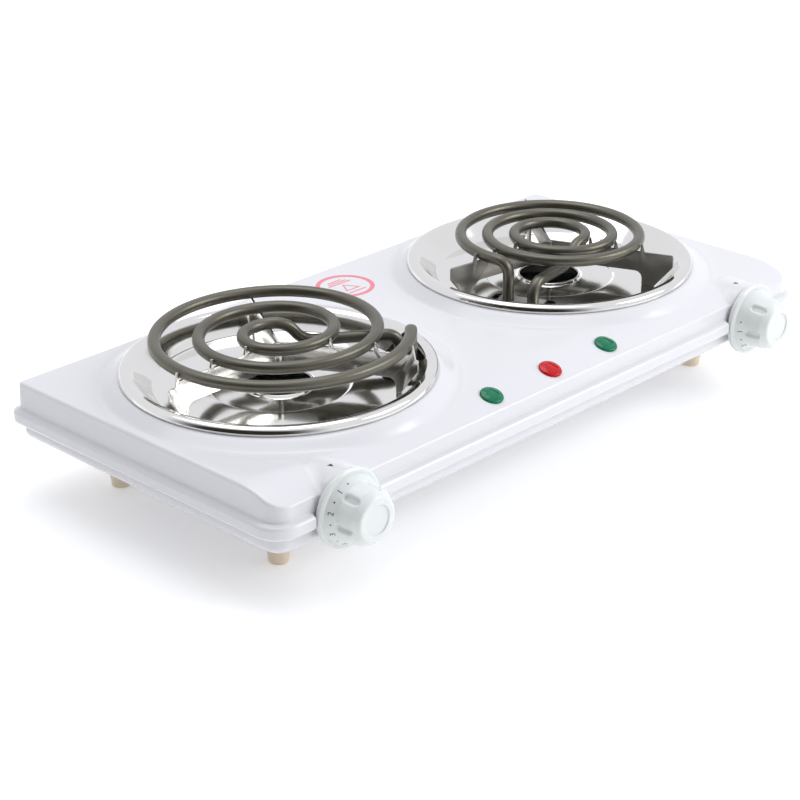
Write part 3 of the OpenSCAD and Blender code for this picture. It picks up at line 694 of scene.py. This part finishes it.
def welded(verts, faces, digits=4):
    """Joins vertices at the same place."""
    key, index = np.unique(np.round(verts, digits), axis=0, return_inverse=True)
    index = index.ravel()
    out = []
    for f in faces:
        g = [int(index[i]) for i in f]
        g = [a for k, a in enumerate(g) if a != g[k - 1]]
        if len(set(g)) >= 3:
            out.append(g)
    return key, out


# ---------- Feet ----------


def feet():
    top = BASE_BOTTOM + DECK_Z
    profile = rounded([(3.4, 0), (6.2, 0, 1.2), (6.9, 6), (9.0, top - 3.0, 2.0),
                       (9.6, top - 1.2, 0.8), (9.6, top + 0.1, 0.3), (2.2, top + 0.1), (2.2, 6.5),
                       (3.4, 6.5)], steps=5)
    shell = Shell()
    for sx in (-1, 1):
        for sy in (-1, 1):
            cx, cy = sx * FOOT_X, sy * FOOT_Y
            verts, faces = lathe_mesh(profile, 64, closed=True)
            shell.add(verts + np.array([cx, cy, -DECK_Z]), faces)
    make("feet_moulded", shell.verts, shell.faces, FOOT_PLASTIC, "housing",
         ("feet",), angle=40)


# ---------- Drip pans ----------


def drip_pan(side):
    t = 0.7
    top = rounded([(98.9, 5.75), (99.2, 6.8, 1.0), (98.3, 9.6, 2.5), (95.2, 10.55, 3.5),
                   (91.6, 9.9, 1.6), (89.6, 8.4, 1.2), (78.4, -3.0, 3.2), (45.6, -3.0, 1.2),
                   (44.0, -4.6, 1.2), (23.2, -4.6, 1.2), (21.8, -3.1, 1.0), (20.4, -3.1, 0.6),
                   (20.2, -4.3)], steps=6)
    under = [(r - (0.5 if r > 97 else 0), z - t) if z < 9 else (r, z - t) for r, z in top]
    under = [(20.9, -4.3)] + [p for p in under[::-1] if p[0] > 21.2 and not p[0] > 97.4]
    under += [(97.8, 8.2), (98.4, 5.75)]
    fine = []
    loop = top + under
    for (r0, z0), (r1, z1) in zip(loop, loop[1:] + loop[:1]):
        n = max(1, int(math.hypot(r1 - r0, z1 - z0) / 4))
        fine += [(r0 + (r1 - r0) * k / n, z0 + (z1 - z0) * k / n) for k in range(n)]
    verts, faces = lathe_mesh(fine, 192, closed=True)
    obj = make(f"{SIDE_NAME[side]}_drip_pan_spun", on_burner(verts, side), faces, CHROME, "housing",
               (f"{SIDE_NAME[side]}_drip_pan",), angle=38)
    x0 = 62 if side < 0 else 50
    half, reach = 22, 91.2
    end = math.asin(half / reach)
    arc = [(reach * math.cos(a), reach * math.sin(a)) for a in np.linspace(-end, end, 15)]
    shape = rounded([(x0, half, 5), (x0, -half, 5)] + [(x, y) for x, y in arc], closed=True)
    cutter, cut_faces = slab(shape, -12, 20)
    cut(obj, [(on_burner(cutter, side), cut_faces)])
    shade(obj, 38)


# ---------- Coil elements ----------

COILS = {
    -1: dict(turn_r=76.3, pitch=27.3, z=27.3, step=78, start=-17.2, bulge=6, leg_b=(82.0, 10.2)),
    1: dict(turn_r=61.8, pitch=18.7, z=25.2, step=107, start=-16.8, bulge=0, leg_b=(66.5, 9.6)),
}
LEG_BOTTOM, BEND_R, DIP_R, RETURN_Z = -24, 9, 16, 14


def turns(spec):
    """The spiral's arcs: centre's distance along the step direction, radius, start and end."""
    r, p, d = spec["turn_r"], spec["pitch"], spec["step"]
    leg, inner = np.array(spec["leg_b"]), r - 2 * p
    end = math.degrees(math.atan2(leg[1], leg[0]) + math.acos(inner / np.linalg.norm(leg)))
    return [(spec["bulge"], r + spec["bulge"], spec["start"], d - 180), (0, r, d + 180, d),
            (p / 2, r - p / 2, d, d - 180), (0, r - p, d + 180, d),
            (p / 2, r - 1.5 * p, d, d - 180), (0, inner, d + 180, end)]


def crossings(spec, angle):
    """Distances from the burner's centre at which the spiral crosses a direction."""
    out = []
    for away, r, a0, a1 in turns(spec):
        for a in (angle - 360, angle, angle + 360):
            if a1 <= a <= a0:
                phi = math.radians(spec["step"] - a)
                out.append(away * math.cos(phi)
                           + math.sqrt(r * r - (away * math.sin(phi)) ** 2))
    return out


def coil_path(spec):
    """Centre line from the foot of the outer leg, round the turns, to the inner leg's foot."""
    z = spec["z"]
    step = math.radians(spec["step"])
    u = np.array([math.cos(step), math.sin(step)])
    arcs = turns(spec)

    def arc(centre, r, a0, a1):
        n = max(3, int(abs(a1 - a0) / 2.5))
        a = np.radians(np.linspace(a0, a1, n))
        return np.column_stack([centre[0] + r * np.cos(a), centre[1] + r * np.sin(a),
                                np.full(n, z)])

    def upright(start, direction, centre_x, centre_z, r, angles):
        """Arc in the vertical plane through start along direction, drawn from angle to angle."""
        a = np.radians(np.linspace(*angles, 12))
        along = centre_x + r * np.cos(a)
        return np.column_stack([start[0] + along * direction[0], start[1] + along * direction[1],
                                centre_z + r * np.sin(a)])

    a = math.radians(spec["start"])
    tangent = np.array([-math.sin(a), math.cos(a)])
    p0 = spec["bulge"] * u + arcs[0][1] * np.array([math.cos(a), math.sin(a)])
    leg_a = p0 + BEND_R * tangent
    parts = [[(*leg_a, h) for h in np.linspace(LEG_BOTTOM, z - BEND_R, 14)[:-1]]]
    parts.append(upright(p0, tangent, 0, z - BEND_R, BEND_R, (0, 90))[:-1])
    for away, r, a0, a1 in arcs:
        parts.append(arc(away * u, r, a0, a1)[:-1])
    end = math.radians(arcs[-1][3])
    p1 = arcs[-1][1] * np.array([math.cos(end), math.sin(end)])
    run = np.array([math.sin(end), -math.cos(end)])
    length = float(np.linalg.norm(np.array(spec["leg_b"]) - p1))
    drop = z - RETURN_Z
    dip = math.degrees(math.acos(1 - drop / 2 / DIP_R))
    reach = 2 * DIP_R * math.sin(math.radians(dip))
    parts.append(upright(p1, run, 0, z - DIP_R, DIP_R, (90, 90 - dip))[:-1])
    parts.append(upright(p1, run, reach, RETURN_Z + DIP_R, DIP_R, (-90 - dip, -90))[:-1])
    along = np.linspace(reach, length - BEND_R, 20)[:-1]
    parts.append(np.column_stack([p1 + along[:, None] * run, np.full(19, RETURN_Z)]))
    parts.append(upright(p1, run, length - BEND_R, RETURN_Z - BEND_R, BEND_R, (90, 0)))
    parts.append([(*spec["leg_b"], h)
                  for h in np.linspace(RETURN_Z - BEND_R, LEG_BOTTOM, 12)[1:]])
    return np.vstack([np.array(p, float) for p in parts])


def tube_section(r, n=28):
    """Round tube with a softly flattened top and a faint crease at each side of it."""
    out = []
    for k in range(n):
        a = 2 * math.pi * k / n
        flat = 1 - 0.10 * math.exp(-(((a - math.pi / 2) / 0.55) ** 2))
        crease = 1 + 0.012 * sum(math.exp(-(((a - c) / 0.12) ** 2)) for c in (0.62, 2.52))
        rr = r * flat * crease
        out.append((rr * math.cos(a), rr * math.sin(a)))
    return out


def coil(side):
    path = coil_path(COILS[side])
    path[1:-1] = (path[:-2] + 2 * path[1:-1] + path[2:]) / 4
    verts, faces = sweep(path, tube_section(TUBE_R))
    make(f"{SIDE_NAME[side]}_heating_tube", on_burner(verts, side), faces, SHEATH,
         f"{SIDE_NAME[side]}_element", (f"{SIDE_NAME[side]}_coil_element",),
         angle=60)


SUPPORTS = {
    -1: dict(direction=180, foot=(74.5, 77.6), tab_top=19.5, material=BRIGHT_STEEL,
             slot="support_bright"),
    1: dict(direction=172, foot=(67, 75.8), tab_top=21, material=DULL_STEEL,
            slot="support_dull"),
}
ARM_BOTTOM, BLADE_T = 7, 1.5


def blade_outline(radii, z, foot, tab_top):
    top = z - TUBE_R - 0.1
    low = -2.9
    tip = z + 1.5
    hook = radii[0] + TUBE_R + 0.6
    pts = [(1.0, ARM_BOTTOM), (foot[0], ARM_BOTTOM, 6), (foot[0], low, 0.6), (foot[1], low, 0.8),
           (88.6, 12.4, 1.5), (88.6, tab_top, 1.6), (hook + 2.6, tab_top, 0.8),
           (hook + 1.1, tip, 0.4), (hook + 0.1, tip, 0.4), (hook - 0.5, top, 0.8)]
    for radius in radii[1:]:
        r = radius + TUBE_R + 0.6
        pts += [(r + 2.4, top, 0.8), (r + 1.0, tip, 0.4), (r + 0.1, tip, 0.4),
                (r - 0.5, top, 0.8)]
    return rounded(pts + [(1.0, top)], closed=True, steps=3)


def support(side):
    spec = SUPPORTS[side]
    coil_z = COILS[side]["z"]
    shell = Shell()
    for turn in (0, 120, 240):
        angle = (spec["direction"] - LEG_DIR[side] + turn) % 360
        shape = blade_outline(crossings(COILS[side], angle), coil_z, spec["foot"],
                              spec["tab_top"])
        verts, faces = slab(shape, -BLADE_T / 2, BLADE_T / 2)
        upright = np.column_stack([verts[:, 0], -verts[:, 2], verts[:, 1]])
        shell.add(turned(upright, angle), faces)
    top = coil_z - TUBE_R - 0.1
    hub = rounded([(0.05, ARM_BOTTOM - 1), (2.4, ARM_BOTTOM - 1, 0.5), (2.4, top - 0.5, 0.6),
                   (0.05, top - 0.4)], steps=3)
    verts, faces = lathe_mesh(hub, 24)
    shell.add(verts, faces)
    obj = make(f"{SIDE_NAME[side]}_support_blades", on_burner(shell.verts, side), shell.faces,
               spec["material"], f"{SIDE_NAME[side]}_element",
               (f"{SIDE_NAME[side]}_coil_support",), angle=35)
    bevel(obj, 0.3)


# ---------- Knobs ----------

KNOB_L = 25
GRIPS = 6
FIRST_NUMBER = {-1: 125.5, 1: 187}
NUMBER_STEP = 39.5


def knob_points(points, side):
    """Knob axes (Z out to the front, angle 0 towards +X, 90 up) to deck axes."""
    p = np.asarray(points, float)
    return np.column_stack([p[:, 0] + side * KNOB_X, KNOB_FACE - p[:, 2], p[:, 1] + BOSS_Z])


def knob(side):
    name = SIDE_NAME[side]
    first = math.radians(FIRST_NUMBER[side] + 3)

    def grip(r, z, a):
        """Six long hollows along the grip, each with a rounded floor and soft ends."""
        if r < 12 or not 8 < z < 23:
            return r
        wrapped = (a - first + math.pi / GRIPS) % (2 * math.pi / GRIPS) - math.pi / GRIPS
        across = abs(wrapped * 17.6) / 3.0
        lengthwise = max(0.0, abs(z - 15.3) - 3.2) / 3.0
        inside = 1 - math.hypot(across, lengthwise)
        return r - 1.9 * float(smooth(inside, 0.0, 0.55)) if inside > 0 else r

    outer = rounded([(23.4, 0), (24.6, 0.1, 0.7), (24.6, 2.9, 0.9), (23.4, 3.9, 0.8),
                     (21.6, 4.0, 0.3), (21.2, 4.6, 0.3), (18.1, 9.9, 0.8), (17.4, KNOB_L - 5, 4.5),
                     (13.6, KNOB_L, 2.4), (9.6, KNOB_L, 0.5), (9.0, KNOB_L - 0.9, 0.4),
                     (0.02, KNOB_L - 0.9)], steps=6)
    fine = []
    for (r0, z0), (r1, z1) in zip(outer, outer[1:]):
        n = max(1, int(math.hypot(r1 - r0, z1 - z0) / 0.7))
        fine += [(r0 + (r1 - r0) * k / n, z0 + (z1 - z0) * k / n) for k in range(n)]
    fine.append(outer[-1])
    inner = [(0.02, 17.0), (3.05, 17.0), (3.05, 8), (4.4, 8), (4.4, 3.0), (20, 3.0), (22.6, 1.6),
             (22.6, 0)]
    verts, faces = lathe_mesh(fine[::-1] + [(23.4, 0)] + inner[::-1], 192,
                              grip)
    make(f"{name}_knob_moulded", knob_points(verts, side), faces, KNOB_PLASTIC,
         f"{name}_control", (f"{name}_knob",), angle=40)
    dial_marks(side)


def cone_point(u, v):
    """Point of the dial ring: u is the angle in degrees, v runs from 0 at its front edge to 1."""
    r, z = 18.4 + 2.6 * v, 9.38 - 4.45 * v
    lift = 0.06
    a = math.radians(u)
    r, z = r + lift * 0.86, z + lift * 0.5
    return (r * math.cos(a), r * math.sin(a), z)


def digit_outline(text):
    """Triangles of a figure from Blender's own font, as points and faces in ems."""
    curve = bpy.data.curves.new("figure", "FONT")
    curve.body = text
    curve.size = 1
    curve.align_x = "CENTER"
    curve.align_y = "CENTER"
    obj = bpy.data.objects.new("figure", curve)
    bpy.context.scene.collection.objects.link(obj)
    depsgraph = bpy.context.evaluated_depsgraph_get()
    mesh = bpy.data.meshes.new_from_object(obj.evaluated_get(depsgraph))
    verts = [tuple(v.co[:2]) for v in mesh.vertices]
    faces = [list(p.vertices) for p in mesh.polygons]
    bpy.data.objects.remove(obj)
    bpy.data.curves.remove(curve)
    bpy.data.meshes.remove(mesh)
    return verts, faces


def dial_marks(side):
    """Figures 1 to 6 round the dial ring, with a dot between each two."""
    shell = Shell()
    base = FIRST_NUMBER[side]
    size = 5.2

    def stamp(flat, faces, angle, scale):
        points = []
        for x, y in flat:
            u = angle - math.degrees(x * scale / 20)
            points.append(cone_point(u, 0.5 + y * scale / 5.5))
        shell.add(points, faces)

    dot = circle(0.55, 12)
    for k in range(6):
        verts, faces = digit_outline(str(k + 1))
        stamp(verts, faces, base + k * NUMBER_STEP, size)
    for k in range(-1, 6):
        stamp(dot, [list(range(12))], base + (k + 0.5) * NUMBER_STEP, 1)
    make(f"{SIDE_NAME[side]}_dial_marks", knob_points(shell.verts, side), shell.faces,
         PRINT_BLACK, f"{SIDE_NAME[side]}_control", angle=180, weld=1e-3)


# ---------- Lamps ----------


LENS_R, LENS_EDGE, LENS_DOME = 7.6, 1.1, 1.3
WINDOW = 3.3


def lens_height(x, y):
    """Low dome with a square window sunk into its middle."""
    r = np.hypot(x, y)
    dome = LENS_EDGE + LENS_DOME * (1 - (r / LENS_R) ** 2)
    turn = math.radians(14)
    u = np.abs(x * math.cos(turn) + y * math.sin(turn))
    v = np.abs(y * math.cos(turn) - x * math.sin(turn))
    window = 1 - smooth(np.maximum(u, v), WINDOW, WINDOW + 0.45)
    return dome - 0.55 * window - 0.5 * smooth(r, 6.9, 7.6) ** 2


def lamp(i, node, mat):
    """Lens with a thin edge, a low dome and a barrel that passes through the deck."""
    shell = Shell()
    n = 96
    angles = np.arange(n) * 2 * math.pi / n
    rings = [0.02, 1, 2] + list(np.arange(2.8, 5.4, 0.15)) + [5.8, 6.3, 6.8, 7.1, 7.35, 7.5, LENS_R]
    rows = []
    for r in rings:
        x, y = r * np.cos(angles), r * np.sin(angles)
        rows.append(np.column_stack([x, y, lens_height(x, y)]))
    shell.grid(rows[::-1], close_u=True)
    side = [(LENS_R, float(lens_height(LENS_R, 0.0))), (LENS_R, 0.0), (LENS_R - 0.2, -0.6),
            (5.9, -0.6), (5.9, -5), (0.02, -5)]
    shell.grid(lathe(side, n), close_u=True, flip=True)
    shell.cap(rows[0])
    shell.cap(lathe([(0.02, -5)], n)[0], flip=True)
    tilt = math.radians(LAMP_TILT)
    v = np.array(shell.verts)
    y = v[:, 1] * math.cos(tilt) - v[:, 2] * math.sin(tilt)
    z = v[:, 1] * math.sin(tilt) + v[:, 2] * math.cos(tilt)
    height = float(deck_height(i * LAMP_PITCH, LAMP_Y))
    points = np.column_stack([v[:, 0] + i * LAMP_PITCH, y + LAMP_Y, z + height])
    make(f"{node}_moulded", points, shell.faces, mat, "housing", (node,), angle=50,
         weld=1e-3)


# ---------- Prints ----------


def on_deck_print(name, outlines, mat, replaces=(), lift=0.12):
    """Thin printed film that follows the deck. Each outline is a ring of (x, y) quads' rows."""
    shell = Shell()
    for rows, closed in outlines:
        rows = np.asarray(rows, float)
        z = deck_height(rows[..., 0], rows[..., 1])
        top = np.dstack([rows, z + lift])
        low = np.dstack([rows, z + 0.02])
        shell.grid(top, close_u=closed)
        shell.grid(low, close_u=closed, flip=True)
        border = [np.array([top[0], low[0]]), np.array([low[-1], top[-1]])]
        for b in border:
            shell.grid(b, close_u=closed)
        if not closed:
            shell.grid(np.array([low[:, 0], top[:, 0]]))
            shell.grid(np.array([top[:, -1], low[:, -1]]))
    return make(name, shell.verts, shell.faces, mat, "housing", replaces, angle=60,
                weld=1e-3)


def bar(x0, x1, y0, y1):
    return [[(x0, y0), (x1, y0)], [(x0, y1), (x1, y1)]], False


def label():
    """Round hot-surface label: a ring with a plain triangle and bars, no lettering."""
    cx, cy = 7.5, 80
    a = np.linspace(0, 2 * math.pi, 73)[:-1]

    def ring(r0, r1):
        return [[(cx + r * math.cos(t), cy + r * math.sin(t)) for t in a] for r in (r0, r1)], True

    def triangle(r, width, x, y):
        rows = []
        for rr in (r - width, r):
            corners = [(x + rr * math.cos(math.radians(d)), y + rr * math.sin(math.radians(d)))
                       for d in (90, 210, 330)]
            row = []
            for p, q in zip(corners, corners[1:] + corners[:1]):
                row += [(p[0] + (q[0] - p[0]) * k / 6, p[1] + (q[1] - p[1]) * k / 6)
                        for k in range(6)]
            rows.append(row)
        return rows, True

    parts = [ring(17.2, 20.3), triangle(7.5, 1.8, cx, cy - 4.5)]
    parts += [bar(cx - 10 + 2 * k, cx + 10 - 2 * k, cy + 5 + 2.6 * k, cy + 6.1 + 2.6 * k)
              for k in range(3)]
    parts += [bar(cx - 8, cx + 8, cy - 12.6, cy - 11.5)]
    on_deck_print("warning_label_print", parts, PRINT_RED, ("hot_surface_label",))


def pointers():
    """Small arrowheads on the deck that point at the dials."""
    for side in (-1, 1):
        x, y = side * KNOB_X, POINTER_Y
        rows = [[(x - 0.1, y - 1.9), (x + 0.1, y - 1.9)], [(x - 1.7, y + 1.4), (x + 1.7, y + 1.4)]]
        on_deck_print(f"{SIDE_NAME[side]}_dial_pointer", [(rows, False)], PRINT_BLACK,
                      lift=0.08)


# ---------- Build ----------

housing()
base_pan()
feet()
for side in (-1, 1):
    drip_pan(side)
    coil(side)
    support(side)
    knob(side)
lamp(-1, "left_lamp_lens", GREEN_LENS)
lamp(0, "centre_lamp_lens", RED_LENS)
lamp(1, "right_lamp_lens", GREEN_LENS)
label()
pointers()

# ---------- CAD nodes that stay, with their finishes ----------

FINISHES = {
    "zinc": ZINC, "chrome": CHROME, "shield": SHIELD, "coil_sheath": SHEATH,
    "support_bright": BRIGHT_STEEL, "support_dull": DULL_STEEL, "clamp_steel": ZINC,
    "ceramic": CERAMIC, "knob_plastic": KNOB_PLASTIC, "brass": BRASS, "copper_spring": COPPER,
    "lens_green": GREEN_LENS, "lens_red": RED_LENS, "neon_glass": NEON,
    "sleeve_plastic": SLEEVE, "black_plastic": BLACK_PLASTIC, "wire_black": SILICONE_BLACK,
    "wire_red": SILICONE_RED, "wire_blue": SILICONE_BLUE, "enamel": ENAMEL,
    "enamel_base": ENAMEL, "foot_plastic": FOOT_PLASTIC, "label_red": PRINT_RED,
}
for part in frame["record"]["subparts"]:
    node = frame["nodes"][part["node"]]
    for material_slot in node.material_slots:
        material_slot.material = FINISHES[part["material_slot"]]

# ---------- Floor, light and camera ----------


def stage_plane(name, size, location, rotation, mat):
    bpy.ops.mesh.primitive_plane_add(size=size, location=location, rotation=rotation)
    obj = bpy.context.object
    obj.name = name
    obj.data.materials.append(mat)
    return obj


def area_light(name, location, target, size, power, color=(1, 1, 1)):
    light = bpy.data.lights.new(name, "AREA")
    light.shape = "RECTANGLE"
    light.size, light.size_y = size
    light.energy = power
    light.color = color
    obj = bpy.data.objects.new(name, light)
    bpy.context.scene.collection.objects.link(obj)
    obj.location = location
    obj.rotation_euler = (Vector(target) - Vector(location)).to_track_quat("-Z", "Y").to_euler()
    return obj


FLOOR = material("floor", (0.97, 0.97, 0.97), 0.8, vary=0.003, vary_scale=2,
                 Emission_Color=(1, 1, 1, 1), Emission_Strength=0.2)
stage_plane("floor", 8, (0, 0, 0), (0, 0, 0), FLOOR)


def studio_world(bright, dark, toward, low, high, strength):
    """Pale studio all round, with a darker part centred on one direction."""
    world = bpy.data.worlds.new("studio")
    bpy.context.scene.world = world
    world.use_nodes = True
    nodes, links = world.node_tree.nodes, world.node_tree.links
    coords = nodes.new("ShaderNodeTexCoord")
    dot = nodes.new("ShaderNodeVectorMath")
    dot.operation = "DOT_PRODUCT"
    dot.inputs[1].default_value = Vector(toward).normalized()
    links.new(coords.outputs["Generated"], dot.inputs[0])
    spread = nodes.new("ShaderNodeMapRange")
    spread.interpolation_type = "SMOOTHSTEP"
    spread.inputs["From Min"].default_value = low
    spread.inputs["From Max"].default_value = high
    links.new(dot.outputs["Value"], spread.inputs["Value"])
    mix = nodes.new("ShaderNodeMix")
    mix.data_type = "RGBA"
    mix.inputs[6].default_value = (*bright, 1)
    mix.inputs[7].default_value = (*dark, 1)
    links.new(spread.outputs["Result"], mix.inputs[0])
    background = nodes["Background"]
    background.inputs["Strength"].default_value = strength
    links.new(mix.outputs[2], background.inputs["Color"])


BRIGHT_WALL, DARK_WALL = (0.95, 0.96, 1.0), (0.035, 0.03, 0.024)
studio_world(BRIGHT_WALL, DARK_WALL, toward=(-0.92, -0.38, 0.12), low=0.45, high=0.9,
             strength=0.95)
area_light("key", (0.95, -1.15, 1.0), (0, 0, 0.05), (1.0, 0.8), 12)
area_light("top", (0.1, 0.5, 1.6), (0, 0, 0), (1.4, 1.0), 8)

LENS_MM, ROLL = 95.417, -0.48
EYE, AIM = (-936.94, -892.73, 530.27), (-102.44, -78.8, 0)

camera_data = bpy.data.cameras.new("camera")
camera_data.sensor_width = 36
camera_data.lens = LENS_MM
camera_data.clip_start = 0.01
camera = bpy.data.objects.new("camera", camera_data)
bpy.context.scene.collection.objects.link(camera)
eye, aim = Vector(place(EYE)), Vector(place(AIM))
camera.location = eye
look = (aim - eye).to_track_quat("-Z", "Y").to_matrix()
roll = Matrix.Rotation(math.radians(ROLL), 3, "Z")
camera.rotation_euler = (look @ roll).to_euler()
bpy.context.scene.camera = camera

bpy.context.scene.view_settings.view_transform = "Standard"
bpy.context.scene.view_settings.look = "None"
